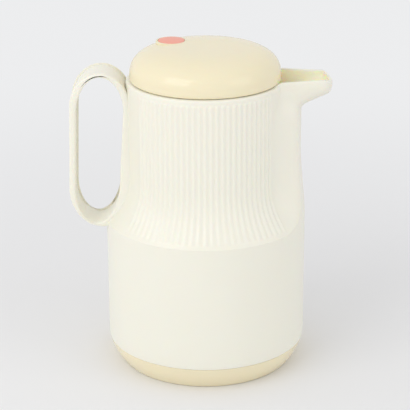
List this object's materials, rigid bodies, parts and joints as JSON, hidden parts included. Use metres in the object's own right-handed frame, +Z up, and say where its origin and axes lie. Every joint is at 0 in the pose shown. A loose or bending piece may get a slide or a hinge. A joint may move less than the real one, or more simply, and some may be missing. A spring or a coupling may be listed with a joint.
{
  "type": "insulated pitcher",
  "caption": "Insulated jug with a reeded shell, open beak spout, loop handle and a domed screw closure over a silvered glass flask.",
  "frame": {"origin": "on the table plane under the middle of the whole jug, handle and spout included, so the body's own axis is at x = +3.75 mm", "axes": "+Z up, +X towards the spout, -X towards the handle, -Y towards the side seen in the picture"},
  "size_m": [0.1826, 0.14, 0.2293],
  "materials": {
    "shell_plastic": "smooth, softly glossy ivory moulding",
    "cream_plastic": "smooth, softly glossy cream moulding",
    "coral_plastic": "satin coral, plain",
    "silvered_glass": "silvered glass",
    "grey_rubber": "matte rubber",
    "clear_silicone": "milky silicone",
    "white_foam": "fine closed-cell foam"
  },
  "bodies": {
    "jug": {"outer_shell": "shell_plastic", "base_cap": "cream_plastic", "base_cushion": "grey_rubber", "glass_flask": "silvered_glass", "glass_spacer_1": "white_foam", "glass_spacer_2": "white_foam", "glass_spacer_3": "white_foam", "flask_band": "white_foam", "shoulder_foam": "white_foam", "neck_gasket": "grey_rubber", "neck_insert": "cream_plastic", "insert_seal": "grey_rubber"},
    "swivel_seal": {"seal_plate": "cream_plastic", "seal_ring": "clear_silicone", "pin_clip": "clear_silicone"},
    "closure": {"lid_dome": "cream_plastic", "index_disc": "coral_plastic", "lid_foam": "white_foam", "stopper_body": "cream_plastic", "drip_seal": "clear_silicone", "stopper_cap": "cream_plastic", "stopper_foam": "white_foam"}
  },
  "joints": [
    {"name": "closure_rise", "type": "slide", "parent": "jug", "child": "swivel_seal", "axis": [0, 0, 1], "range_m": [0, 0.0505]},
    {"name": "closure_turn", "type": "hinge", "parent": "swivel_seal", "child": "closure", "pos_m": [0.00375, 0, 0.19], "axis": [0, 0, 1], "range_deg": [0, 900]}
  ],
  "couplings": [
    {"joint": "closure_rise", "follows": "closure_turn", "m_per_rad": 0.0031831}
  ]
}
